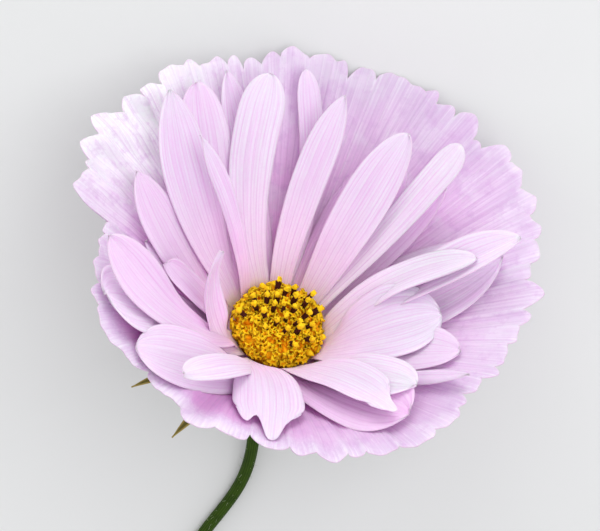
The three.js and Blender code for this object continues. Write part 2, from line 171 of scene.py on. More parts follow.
world = bpy.data.worlds.new("studio")
scene.world = world
world.use_nodes = True
background = world.node_tree.nodes["Background"]
background.inputs["Color"].default_value = (0.98, 0.98, 1.0, 1)
background.inputs["Strength"].default_value = 0.74
scene.view_settings.view_transform = "Standard"

# %% [markdown]
# ## Shader maths as expressions
#
# A material is a small program. The class below wraps a node's output, so that `1 - mask` or
# `noise * 0.3 + base` adds its Math nodes by itself, and `node` adds any other node.


# %% Socket wrapper
class Socket:
    """An output of a material's node tree that can be used in an expression."""

    def __init__(self, tree, socket=None):
        self.tree = tree
        self.socket = socket

    def node(self, kind, settings=None, inputs=None, output=0):
        """Adds a shader node, sets its settings and then its inputs, and wraps one output."""
        made = self.tree.nodes.new("ShaderNode" + kind)
        for key, value in (settings or {}).items():
            if key == "stops":
                set_stops(made.color_ramp, value)
            else:
                setattr(made, key, value)
        for key, value in (inputs or {}).items():
            if isinstance(value, Socket):
                self.tree.links.new(value.socket, made.inputs[key])
            else:
                made.inputs[key].default_value = value
        return Socket(self.tree, made.outputs[output])

    def math(self, operation, first, second=0.0):
        return self.node("Math", {"operation": operation}, {0: first, 1: second})

    def __add__(self, other):
        return self.math("ADD", self, other)

    def __sub__(self, other):
        return self.math("SUBTRACT", self, other)

    def __rsub__(self, other):
        return self.math("SUBTRACT", other, self)

    def __mul__(self, other):
        return self.math("MULTIPLY", self, other)

    def band(self, low, high):
        """Runs smoothly from 0 at low to 1 at high."""
        return self.node("MapRange", {"interpolation_type": "SMOOTHSTEP"},
                         {"Value": self, "From Min": low, "From Max": high})

    def line(self, period, inner, outer):
        """1 on a line at each whole number of periods, and 0 from outer away from it."""
        return 1 - self.math("PINGPONG", self, period / 2).band(inner, outer)

    def blend(self, color_a, color_b):
        """Mixes two colours, with this socket as the share of the second."""
        return self.node("Mix", {"data_type": "RGBA"}, {0: self, 6: color_a, 7: color_b}, output=2)


def set_stops(ramp, stops):
    """Puts the given places and colours on a colour ramp."""
    while len(ramp.elements) > 1:
        ramp.elements.remove(ramp.elements[-1])
    ramp.elements[0].position, ramp.elements[0].color = stops[0]
    for position, color in stops[1:]:
        ramp.elements.new(position).color = color


class Finish:
    """A new material with its shader, and what its expressions start from."""

    def __init__(self, name, **constants):
        self.material = bpy.data.materials.new(name)
        self.material.use_nodes = True
        self.shader = self.material.node_tree.nodes["Principled BSDF"]
        self.tools = Socket(self.material.node_tree)
        for key, value in constants.items():
            self.shader.inputs[key.replace("_", " ")].default_value = value

    def plug(self, name, value):
        """Links an expression to one of the shader's inputs."""
        self.tools.tree.links.new(value.socket, self.shader.inputs[name])

    def place(self):
        return self.tools.node("TexCoord", output=3)

    def surface(self):
        """The two coordinates of the piece's own grid: across it and along it."""
        pair = self.tools.node("UVMap", {"uv_map": "surface"})
        return [self.tools.node("SeparateXYZ", inputs={0: pair}, output=axis) for axis in (0, 1)]

    def noise(self, scale, detail=3.0, vector=None, roughness=0.5):
        return self.tools.node("TexNoise", inputs={
            "Vector": vector or self.place(), "Scale": scale, "Detail": detail, "Roughness": roughness})

    def attribute(self, name):
        return self.tools.node("Attribute", {"attribute_name": name}, output=2)

    def ramp(self, value, stops):
        return self.tools.node("ValToRGB", {"stops": stops}, {0: value})

    def bump(self, strength, depth, height):
        return self.tools.node("Bump", inputs={
            "Strength": strength, "Distance": depth, "Height": height})


# %% [markdown]
# ## The floor's finish
#
# A matt, faintly mottled sheet, so that the flower's shadow reads.

# %% Floor material
paper = Finish("pale_floor", Roughness=0.7)
paper.plug("Base Color", paper.noise(30).blend((0.74, 0.75, 0.74, 1), (0.78, 0.79, 0.78, 1)))
floor_mesh.materials.append(paper.material)

# %% [markdown]
# ## From a grid of points to a thin closed body
#
# A petal is a thin sheet. Given a grid of points, its normals come from the grid's two
# directions. The upper face lies half a thickness along them and the lower face half a
# thickness against them, and a strip closes the margin. The thickness may differ from point to
# point, so a margin can be thinner than the middle.


# %% Sheets, tubes and pieces
def unit(vectors):
    """Each vector divided by its own length."""
    return vectors / np.maximum(np.linalg.norm(vectors, axis=-1, keepdims=True), 1e-12)


def grid_normals(points, ring):
    """The cross product of the step across and the step along, at every point of a grid. On a
    ring the first column is next to the last."""
    along = np.gradient(points, axis=0)
    if ring:
        across = np.roll(points, -1, axis=1) - np.roll(points, 1, axis=1)
    else:
        across = np.gradient(points, axis=1)
    return unit(np.cross(across, along))


def sheet(points, thickness, u, v, ring=False):
    """A closed thin body round a grid of points, as vertices, faces and one (u, v) pair for each
    corner of a face. u and v are grids too. A ring's u has one more column than its points."""
    rows, columns = points.shape[:2]
    count = rows * columns
    offset = grid_normals(points, ring) * (np.broadcast_to(thickness, (rows, columns))[..., None] / 2)
    vertices = np.concatenate([(points + offset).reshape(-1, 3), (points - offset).reshape(-1, 3)])
    spans = columns if ring else columns - 1
    i, j = np.meshgrid(np.arange(rows - 1), np.arange(spans), indexing="ij")
    corners = [(i, j, 0), (i, j + 1, 0), (i + 1, j + 1, 0), (i + 1, j, 0)]
    loops = [corners, [(r, c, 1) for r, c, side in corners[::-1]]]

    def margin(row_a, column_a, row_b, column_b):
        """A strip that joins the two faces along one margin, from points a to points b."""
        loops.append([(row_a, column_a, 0), (row_a, column_a, 1),
                      (row_b, column_b, 1), (row_b, column_b, 0)])

    across, along = np.arange(spans), np.arange(rows - 1)
    first, last = np.zeros(spans, int), np.full(spans, rows - 1)
    margin(first, across, first, across + 1)
    margin(last, across + 1, last, across)
    if not ring:
        left, right = np.zeros(rows - 1, int), np.full(rows - 1, columns - 1)
        margin(along + 1, left, along, left)
        margin(along, right, along + 1, right)
    faces = np.concatenate([np.stack([r * columns + c % columns + side * count for r, c, side in loop],
                                     axis=-1).reshape(-1, 4) for loop in loops])
    uv = np.concatenate([np.stack([np.stack([u[r, c], v[r, c]], axis=-1) for r, c, side in loop],
                                  axis=-2).reshape(-1, 4, 2) for loop in loops])
    return vertices, [faces], uv.reshape(-1, 2)


def tube(rings, u=None, v=None):
    """A closed body from rings of points, lowest first and each counter-clockwise seen from
    above. Its ends are closed with a fan to the middle of the ring."""
    rows, columns = rings.shape[:2]
    u = np.broadcast_to(np.linspace(0, 1, columns + 1), (rows, columns + 1)) if u is None else u
    v = np.broadcast_to(np.linspace(0, 1, rows)[:, None], (rows, columns + 1)) if v is None else v
    vertices = np.concatenate([rings.reshape(-1, 3), rings[[0, -1]].mean(axis=1)])
    i, j = np.meshgrid(np.arange(rows - 1), np.arange(columns), indexing="ij")
    corners = [(i, j), (i, j + 1), (i + 1, j + 1), (i + 1, j)]
    quads = np.stack([r * columns + c % columns for r, c in corners], axis=-1).reshape(-1, 4)
    uv = np.stack([np.stack([u[r, c], v[r, c]], axis=-1) for r, c in corners], axis=-2).reshape(-1, 2)
    j = np.arange(columns)
    following = (j + 1) % columns
    top = (rows - 1) * columns
    bottom_fan = np.stack([following, j, np.full(columns, rows * columns)], axis=-1)
    top_fan = np.stack([top + j, top + following, np.full(columns, rows * columns + 1)], axis=-1)
    fan_uv = np.concatenate([
        np.stack([u[row, [j + 1, j, j]], v[row, [j, j, j]]], axis=-1).transpose(1, 0, 2)
        for row in (0, -1)]).reshape(-1, 2)
    return vertices, [quads, np.concatenate([bottom_fan, top_fan])], np.concatenate([uv, fan_uv])


def merged(bodies):
    """Several (vertices, faces, uv) bodies as one. Quads come first and triangles after them."""
    starts = np.cumsum([0] + [len(vertices) for vertices, faces, uv in bodies])
    kinds, uvs = [[], []], [[], []]
    for start, (vertices, faces, uv) in zip(starts, bodies):
        used = 0
        for kind, part in enumerate(faces):
            kinds[kind].append(part + start)
            uvs[kind].append(uv[used:used + part.size])
            used += part.size
    faces = [np.concatenate(kind) for kind in kinds if kind]
    return np.concatenate([body[0] for body in bodies]), faces, np.concatenate(uvs[0] + uvs[1])


def make_piece(name, body, finish, nodes, slot, **values):
    """Lays a body down as an object that rides on the flower: p = turn * point + head, in
    metres. Each of the values is a number for each vertex that the finish reads."""
    vertices, faces, uv = body
    mesh = bpy.data.meshes.new(name)
    mesh.vertices.add(len(vertices))
    mesh.vertices.foreach_set("co", ((vertices @ upright.T + head) * MM).astype(np.float32).ravel())
    corners = np.concatenate([part.ravel() for part in faces]).astype(np.int32)
    sizes = np.concatenate([np.full(len(part), part.shape[1]) for part in faces])
    mesh.loops.add(len(corners))
    mesh.loops.foreach_set("vertex_index", corners)
    mesh.polygons.add(len(sizes))
    mesh.polygons.foreach_set("loop_start", (np.cumsum(sizes) - sizes).astype(np.int32))
    mesh.update(calc_edges=True)
    mesh.polygons.foreach_set("use_smooth", np.ones(len(sizes), bool))
    mesh.uv_layers.new(name="surface").data.foreach_set("uv", uv.astype(np.float32).ravel())
    for key, value in values.items():
        data = np.broadcast_to(value, len(vertices)).astype(np.float32)
        mesh.attributes.new(key, "FLOAT", "POINT").data.foreach_set("value", data)
    mesh.materials.append(finish.material)
    piece = bpy.data.objects.new(name, mesh)
    scene.collection.objects.link(piece)
    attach(piece, "root")
    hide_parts(*nodes)


def smooth(values, low, high):
    """Runs from 0 at low to 1 at high along 3x^2 - 2x^3."""
    x = np.clip((values - low) / (high - low), 0, 1)
    return x * x * (3 - 2 * x)


def lerp(a, b, share):
    """The value at a share of the way from a to b."""
    return a + (b - a) * share


# %% [markdown]
# ## What a petal is made of
#
# A cosmos petal is translucent and satin, with a grain too fine to see. Thin darker veins run
# from claw to tip, with fainter streaks between them. The colour is cream and then warm pink
# near the disc, turns to pale lilac-pink, and is almost white in places. The pattern follows
# the blade, so it is drawn on the blade's own coordinates: the first counts the veins across it,
# and the second runs from claw to tip.


# %% Petal material
def petal_finish(name, along_colors, pink_and_shade_color, vein, rim, vein_share, relief, mottle):
    """Satin petal. The colours run along the blade. Veins are lines at each whole number of the
    first coordinate and weaker ones at each half. Streaks are noise drawn out along the blade."""
    finish = Finish(name, Roughness=0.5, Specular_IOR_Level=0.35, Subsurface_Weight=0.5,
                    Subsurface_Radius=(1.0, 0.55, 0.9), Subsurface_Scale=0.0014, Sheen_Weight=0.1)
    tools = finish.tools
    count, along = finish.surface()
    margin = finish.attribute("margin")
    tint = finish.attribute("tint")
    pale = finish.attribute("pale")

    stretched = tools.node("CombineXYZ", inputs={0: count * 4.0, 1: along * 2.2, 2: tint * 9.0})
    streaks = finish.noise(1.0, 4.0, stretched, 0.6)
    cloud = finish.noise(140)
    grain = finish.noise(2400, 2.0)
    patches = finish.noise(420, 6.0, None, 0.7)

    wander = count + (cloud - 0.5) * 0.4
    reach = along.band(0.0, 0.1) * (1 - along.band(0.82, 1.0) * 0.7)
    line = wander.line(1.0, 0.0, 0.13) * reach
    half_line = (wander + 0.5).line(1.0, 0.0, 0.10) * reach

    ground = finish.ramp(along + (cloud - 0.5) * 0.25, along_colors)
    # Extra pink towards the given colour: the petals' own pinker colour, and painted shade on the cup's near
    # wall and on a few petals that lie in the shade of others.
    with_pink_and_shade = (cloud.band(0.45, 0.75) * 0.15 + tint).blend(ground, pink_and_shade_color)
    # The white share: the petals' own white, the crumpled wall's white, and a painted highlight along the
    # cup's near lip.
    whitened = pale.blend(with_pink_and_shade, (0.92, 0.90, 0.94, 1))
    lightened = ((1 - streaks.band(0.3, 0.5)) * (1 - tint) * 0.3).blend(whitened, (0.93, 0.89, 0.95, 1))
    streaky = (streaks.band(0.45, 0.75) * 0.42 + grain.band(0.35, 0.75) * 0.08).blend(lightened, vein)
    blotched = (cloud.band(0.48, 0.62) * (1 - tint) * mottle).blend(streaky, (0.88, 0.84, 0.92, 1))
    mottled = (patches.band(0.5, 0.66) * mottle).blend(blotched, vein)
    veined = (line * vein_share + half_line * (vein_share * 0.45)).blend(mottled, vein)
    edge = (1 - margin.band(0.02, 0.16)) * 0.5
    finish.plug("Base Color", edge.blend(veined, rim))
    height = streaks * 0.5 + grain * 0.2 - line * 0.4
    finish.plug("Normal", finish.bump(relief, 0.0001, height))
    return finish


inner_finish = petal_finish(
    "inner_petal",
    [(0.0, (1.0, 0.80, 0.60, 1)), (0.08, (1.0, 0.69, 0.96, 1)), (0.3, (1.0, 0.70, 0.96, 1)),
     (0.6, (0.82, 0.68, 0.86, 1)), (0.95, (0.78, 0.68, 0.83, 1))],
    pink_and_shade_color=(0.94, 0.44, 0.82, 1), vein=(0.76, 0.38, 0.72, 1), rim=(0.84, 0.58, 0.76, 1), vein_share=0.42,
    relief=0.5, mottle=0.06)
cup_finish = petal_finish(
    "outer_cup",
    [(0.0, (0.98, 0.46, 0.80, 1)), (0.25, (0.98, 0.60, 0.90, 1)), (0.6, (0.80, 0.56, 0.79, 1)),
     (0.95, (0.66, 0.55, 0.71, 1))],
    pink_and_shade_color=(0.64, 0.26, 0.57, 1), vein=(0.56, 0.34, 0.60, 1), rim=(0.74, 0.48, 0.68, 1), vein_share=0.22,
    relief=0.8, mottle=0.32)

# %% [markdown]
# ## The inner petals
#
# Each petal has a midline that leaves the disc steeply, swings to its heading and bends over,
# and a width that opens from a narrow claw and closes at the tip. Across, the blade is a shallow
# trough with a rib between each two veins. Most tips are round or pointed, and two that hang
# over near the viewer end in a tongue. Some blades are folded along the middle, and one is
# rolled along one side.

# %% Sizes of the petals
CLAW_HEIGHT = -1.4
HOLLOW = 1.1
INNER = 7.35
OUTER = 8.4
CLAW_WIDTH = 3.7
BLADE_THICKNESS = 0.34
MARGIN_THICKNESS = 0.12
VEIN_SPACING = 1.2
PETAL_ROWS = 60
COLUMNS_PER_VEIN = 6
WAVE_HEIGHT = 0.3
FINE_RIB = 0.012
BROAD_RIB = 0.05


def petal(root, ring, heading, length, width, rise, point, **looks):
    """The sizes of one petal. Most come from a program's least-squares fit to outlines read off
    the photograph, and some were then changed. The looks are added here, and each petal
    only names those in which it is unusual."""
    usual = {
        "turn": 0,          # degrees that the blade turns about its midline
        "bow": 0,           # degrees that the midline bows sideways
        "shoulder": 0.62,   # where along the blade it is widest
        "cuts": ((0, 0),),  # (place across, share of the blade cut away there) round a ragged tip
        "blunt": 0.04,      # width of the very tip, as a share of the width
        "fold": 0.0,        # how far it folds along its middle, positive for a ridge
        "roll": 0.0,        # millimetres that one side rolls outward; the sign tells which side
        "hollow": HOLLOW,
        # Extra pink is the petal's own pinker colour, and on a few petals in the shade of others it is also
        # painted shade.
        "tint": 0.0,        # share of extra pink
        "pale": 0.0,        # share of white
    }
    return {"root": root, "ring": ring, "heading": heading, "length": length, "width": width,
            "rise": rise, "point": point, **usual, **looks}


# %% The thirty petals
TONGUE = [(-1, 0.14), (-0.75, 0.12), (-0.5, 0.09), (-0.38, 0.02), (-0.2, 0), (0.02, 0), (0.16, 0.06),
          (0.3, 0.12), (0.45, 0.12), (0.6, 0.06), (0.85, 0.05), (1, 0.10)]
DROOP = [(-1, 0.13), (-0.5, 0.11), (-0.25, 0.08), (-0.05, 0.01), (0.3, 0), (0.8, 0.01), (1, 0.05)]

PETALS = [
    petal(299, INNER, 292, 35.6, 3.2, (74, 61, 49), 0.9, turn=20, bow=-8, shoulder=0.75, fold=0.9),
    petal(321, INNER, 332, 39.8, 7.7, (59, 53, 43), 0.0, bow=22, shoulder=0.82, fold=0.3, pale=0.2),
    petal(346, INNER, 359, 37.4, 6, (60, 55, 49), 0.5, bow=8, shoulder=0.68, pale=0.1),
    petal(23, INNER, 19, 36.5, 8.1, (65, 58, 50), 0.0, shoulder=0.63, fold=-0.5, pale=0.1),
    petal(36, INNER, 38, 40.8, 5.2, (60, 57, 51), 0.0, bow=-6, shoulder=0.87, fold=0.9, pale=0.4),
    petal(71, INNER, 70, 34.6, 6.3, (66, 54, 38), 0.1, bow=16, pale=0.35),
    petal(99, INNER, 80, 26, 14.6, (63, 48, 27), 0.1, bow=-11, shoulder=0.65, fold=-0.3),
    petal(146, INNER, 133, 36.5, 9.6, (60, 54, 22), 0.1, bow=-3, blunt=0.6, pale=0.15, cuts=DROOP),
    petal(188, INNER, 165, 37, 11.5, (57, 50, 7), 0, bow=5, blunt=0.9, hollow=-0.6, shoulder=0.78,
          tint=0.1, cuts=TONGUE),
    petal(191, INNER, 200, 41, 5.6, (52, 58, 29), 0.0, bow=9, shoulder=0.72, roll=-0.6, pale=0.2),
    petal(221, INNER, 280, 29, 5.8, (42, 73, 103), 0.6, bow=-3, shoulder=0.32, fold=-0.5, pale=0.15),
    petal(231, INNER, 246, 41.6, 8.8, (50, 48, 42), 0.2, bow=36, shoulder=0.74, tint=0.25),
    petal(266, OUTER, 279, 34, 8.5, (49, 50, 50), 0.4, bow=13, tint=0.2),
    petal(290, OUTER, 299, 41.4, 9.5, (56, 53, 49), 0.5, bow=15, shoulder=0.64),
    petal(306, OUTER, 311, 38.6, 8.8, (53, 47, 42), 0.0, bow=12, shoulder=0.73, tint=0.15),
    petal(327, OUTER, 317, 38.5, 6.5, (49, 45, 42), 0.2, tint=0.1),
    petal(351, OUTER, 341, 38.8, 4.4, (53, 45, 36), 0.1, bow=-15, shoulder=0.84, tint=0.1),
    petal(5, OUTER, 10, 24, 3.6, (56, 50, 47), 0.5, turn=35, bow=4, tint=0.35),
    petal(25, OUTER, 26, 29.5, 6, (58, 53, 48), 0.3, tint=0.25),
    petal(42, OUTER, 37, 31.5, 5.6, (51, 48, 45), 0.3, tint=0.25),
    petal(73, OUTER, 67, 40.8, 7, (57, 52, 44), 0.3, shoulder=0.74, fold=-0.9, pale=0.2),
    petal(67, OUTER, 68, 34.8, 16, (45, 45, 43), 0.3, bow=-5, shoulder=0.52, tint=0.1),
    petal(98, OUTER, 103, 29.5, 10.2, (56, 46, 30), 0.1, bow=-10, tint=0.2),
    petal(119, OUTER, 110, 36.5, 4.4, (46, 46, 46), 0.9, bow=-5, shoulder=0.72, fold=0.5, tint=0.1),
    petal(133, OUTER, 124, 32, 10.4, (64, 49, 31), 0.1, bow=-17, shoulder=0.7, pale=0.3),
    # This petal lies under the drooping one, and its extra pink is painted shade.
    petal(145, OUTER, 130, 35, 14, (56, 47, 25), 0.2, bow=-20, shoulder=0.8, tint=0.5),
    petal(197, OUTER, 220, 36.2, 12.8, (54, 47, 14), 0.1, bow=30, shoulder=0.73, tint=0.2),
    petal(240, OUTER, 226, 35.8, 13.6, (48, 44, 38), 0.1, bow=3, shoulder=0.84, tint=0.1),
    petal(251.5, OUTER, 252, 22, 6.3, (59, 53, 48), 0.4, tint=0.2),
    petal(270, OUTER, 255, 24, 7, (49, 45, 41), 0.3, tint=0.2),
]


# %% Petal surface
def petal_width(t, p):
    """Widens along a quarter wave from the claw to the shoulder, then closes in an end that is
    round or pointed."""
    opening = np.sin(np.pi / 2 * np.clip(t / p["shoulder"], 0, 1)) ** 1.15
    closing = np.clip((t - p["shoulder"]) / (1 - p["shoulder"]), 0, 1)
    end = np.maximum(1 - closing ** 2.2, 0) ** lerp(0.5, 1.0, p["point"])
    claw = min(CLAW_WIDTH, 0.55 * p["width"])
    return lerp(claw, p["width"], opening) * np.maximum(end, p["blunt"])


def petal_surface(p, noise):
    """The blade as a grid. A point is the midline at q, plus an offset across the blade, plus a
    lift off it. The lift adds up the trough (offset squared), the ribs (a cosine of the vein
    count), the fold (the offset without its sign), the roll of one side, waves (sines along the
    blade, most at the margin) and dents. Near the tip q falls back where the tip is cut."""
    veins = max(4, round(p["width"] / VEIN_SPACING))
    t = ((1 - np.cos(np.pi * np.linspace(0, 1, PETAL_ROWS))) / 2)[:, None]
    u = np.linspace(-1, 1, COLUMNS_PER_VEIN * veins + 1)[None, :]
    bitten = sum(np.interp(u + step, *np.transpose(p["cuts"])) for step in (-0.07, 0, 0.07)) / 3
    q = t - t ** 9 * 0.085 * p["blunt"] * np.abs(u) ** 2.3 - t ** 6 * bitten

    swing = (p["heading"] - p["root"] + 540) % 360 - 180

    def direction(x):
        bowed = p["bow"] * np.cos(np.pi * x) * smooth(x, 0, 0.15)
        return p["root"] + swing * smooth(x, 0, 0.35) - bowed

    def elevation(x):
        first, second, last = p["rise"]
        return np.radians((1 - x) ** 2 * first + 2 * x * (1 - x) * second + x ** 2 * last)

    steps = 300
    fine = (np.arange(steps) + 0.5) / steps
    moves = on_axis(direction(fine), np.cos(elevation(fine)), np.sin(elevation(fine)))
    start = on_axis(p["root"], p["ring"], CLAW_HEIGHT)
    path = np.vstack([start, start + np.cumsum(moves, axis=0) * p["length"] / steps])
    stations = np.linspace(0, 1, steps + 1)
    midline = np.stack([np.interp(q, stations, path[:, k]) for k in range(3)], axis=-1)

    e = elevation(q)
    turning = (np.radians(p["turn"]) * np.sin(np.pi / 2 * q))[..., None]
    side = on_axis(direction(q) + 90, 1, 0 * q)
    inward = on_axis(direction(q), -np.sin(e), np.cos(e))
    across = side * np.cos(turning) + inward * np.sin(turning)
    face = inward * np.cos(turning) - side * np.sin(turning)

    half_width = petal_width(t, p) / 2
    offset = u * half_width
    grown = smooth(t, 0.1, 0.45)
    lift = p["hollow"] * np.sin(e) / (2 * np.hypot(midline[..., 0], midline[..., 1])) * offset ** 2
    count = (u + 1) / 2 * veins + 0 * t
    ribs = FINE_RIB * np.cos(2 * np.pi * count) + BROAD_RIB * np.cos(np.pi * count + p["root"])
    lift = lift - ribs * grown
    lift = lift - p["fold"] * grown * (np.sqrt(offset ** 2 + 0.1) - 0.32) * 0.5
    lift = lift - np.abs(p["roll"]) * grown * smooth(u * np.sign(p["roll"]), 0.1, 1.1) ** 1.5
    phase = noise.uniform(0, 2 * np.pi, 3)
    wave = np.sin(6 * t + phase[0] + 1.3 * u) + 0.5 * np.sin(13 * t + phase[1] - u)
    lift = lift + WAVE_HEIGHT * u ** 2 * smooth(t, 0.2, 0.7) * wave
    dents = 0.15 * np.sin(4 * t + 2.4 * u + phase[2]) + 0.08 * np.sin(2 * t + 6 * u + phase[0])
    lift = lift + grown * dents
    points = midline + across * offset[..., None] + face * lift[..., None]

    to_margin = np.minimum((1 - np.abs(u)) * half_width, (1 - t) * p["length"])
    thickness = lerp(MARGIN_THICKNESS, BLADE_THICKNESS, smooth(to_margin, 0, 0.6))
    return points, thickness, count, t + 0 * u, to_margin


for number, p in enumerate(PETALS, start=1):
    points, thickness, count, along, to_margin = petal_surface(p, np.random.default_rng(number))
    make_piece(f"petal_{number:02d}", sheet(points, thickness, count, along), inner_finish,
               [f"inner_petal_{number:02d}"], "inner_petal",
               margin=np.tile(to_margin.ravel(), 2), tint=p["tint"], pale=p["pale"])
print("inner petals:", len(PETALS))

# %% [markdown]
# ## The cup
#
# The eight outer petals of this kind of cosmos are joined into one wavy cup. Its wall is an arc
# in section. A pleat runs down from each notch of the rim, and the near part of the rim is
# rolled outward into a lip. The rim is a list of notches and lobes, within about 2 mm of the
# imported model's. A program worked out at least half of its rows from points read off the
# photograph. Veins, wrinkles, small waves and a ragged edge are added on top. The wall is almost
# white where it is crumpled at the left. A pale band along the lip is a painted highlight, and
# the darker pink of the wall below the lip is painted shade.

# %% The cup's sizes
RING_BORE = 4.6
CUP_FLOOR = -2.3
CUP_FOOT_RADIUS = 9.4
CUP_FOOT_HEIGHT = -1.6
CUP_RISE_FOOT = math.radians(48)
CUP_RISE_RIM = math.radians(34)
CUP_RISE_LENGTH = 40
CUP_PLEAT = 0.55
ROLL_MIDDLE = 208
ROLL_HALF_WIDTH = 55
ROLL_DEPTH = 1.8
CUP_VEINS = 150
CRUMPLED_AZIMUTH = 288
PALE_AZIMUTH = 294
LIP_AZIMUTH = 200
RIGHT_AZIMUTH = 85


def lobe(azimuth, notch, reach, peak=0.5, sharp=0.65):
    """Azimuth of a notch, reach of the wall there and at the peak of the lobe that follows it,
    the share of the way at which that peak lies, and how pointed it is."""
    return azimuth, notch, reach, peak, sharp


RIM = np.array([
    lobe(2, 38.8, 41.0, 0.4), lobe(14.5, 40.8, 41.8), lobe(18.3, 39.8, 41.2, 0.6),
    lobe(23.8, 39.9, 42.3, 0.45, 0.5), lobe(31.2, 39.2, 39.6), lobe(34.3, 39.1, 42.6, 0.6),
    lobe(41.8, 41.1, 42.1, 0.4), lobe(49, 40.3, 41.9, 0.55, 0.8), lobe(57, 39.7, 40.9, 0.6),
    lobe(63.8, 39.4, 39.7), lobe(70, 38.0, 37.8, 0.4), lobe(74.5, 36.6, 39.7, 0.45, 0.9),
    lobe(83.5, 36.6, 38.0, 0.4, 0.9), lobe(89, 36.5, 36.7), lobe(95, 35.8, 36.2, 0.6),
    lobe(103, 35.5, 36.5, 0.4), lobe(108, 34.5, 35.3), lobe(115, 34.0, 35.6, 0.6, 0.9),
    lobe(120, 35.6, 37.4, 0.55), lobe(130, 37.2, 38.6, 0.45), lobe(141, 38.0, 38.5),
    lobe(149, 37.4, 37.8), lobe(153.5, 37.5, 39.0, 0.5, 0.9), lobe(161, 37.2, 37.1),
    lobe(167, 35.3, 36.0), lobe(177.2, 33.6, 36.0, 0.35, 0.5), lobe(186, 35.7, 37.6),
    lobe(195.5, 35.2, 33.2), lobe(209.8, 30.5, 33.2, 0.6), lobe(218, 33.5, 34.9, 0.6),
    lobe(231.5, 33.8, 34.3), lobe(239, 32.5, 33.0, 0.6), lobe(247.5, 32.1, 31.8),
    lobe(256.5, 30.5, 31.0, 0.4), lobe(261, 30.3, 38.6, 0.42, 0.5), lobe(270.8, 37.5, 38.3, 0.6, 1.0),
    lobe(272.8, 38.0, 40.9, 0.33, 1.3), lobe(280.5, 39.3, 41.5, 0.27, 1.4), lobe(290.2, 38.6, 40.2, 0.5),
    lobe(297.5, 38.0, 39.9, 0.3, 0.6), lobe(304, 38.8, 40.9, 0.5, 0.5), lobe(311.5, 40.2, 40.8, 0.6, 1.0),
    lobe(315.4, 39.4, 40.0, 0.7, 0.9), lobe(323, 38.5, 39.7), lobe(327.2, 37.5, 39.1, 0.4),
    lobe(332, 38.1, 39.9, 0.6), lobe(337, 39.3, 41.0, 0.4), lobe(344.5, 39.3, 40.7, 0.55, 0.9),
    lobe(351, 39.8, 40.2), lobe(355, 37.6, 40.3, 0.6)])

# %% Cup surface
COLUMN_WIDTH = 0.4


def rim_line():
    """Azimuth, reach and arch at every column of the rim. From notch to peak and down to the next
    notch the arch is a power of a half sine wave, and the reach goes along it."""
    azimuth, notch, reach, peak, sharp = RIM.T
    span = (np.roll(azimuth, -1) - azimuth) % 360
    counts = np.maximum(8, np.round(span / COLUMN_WIDTH)).astype(int)
    which = np.repeat(np.arange(len(RIM)), counts)
    x = (np.arange(counts.sum()) - (np.cumsum(counts) - counts)[which]) / counts[which]
    leaning = x ** (np.log(0.5) / np.log(peak))[which]
    arch = np.sin(np.pi * leaning) ** sharp[which]
    between = lerp(notch[which], np.roll(notch, -1)[which], x)
    return azimuth[which] + span[which] * x, lerp(between, reach[which], arch), arch


def around(azimuth, middle, half_width):
    """1 at the middle azimuth and 0 from half a width away from it, along a squared cosine."""
    away = np.abs((azimuth - middle + 540) % 360 - 180) / half_width
    return np.cos(np.pi / 2 * np.clip(away, 0, 1)) ** 2


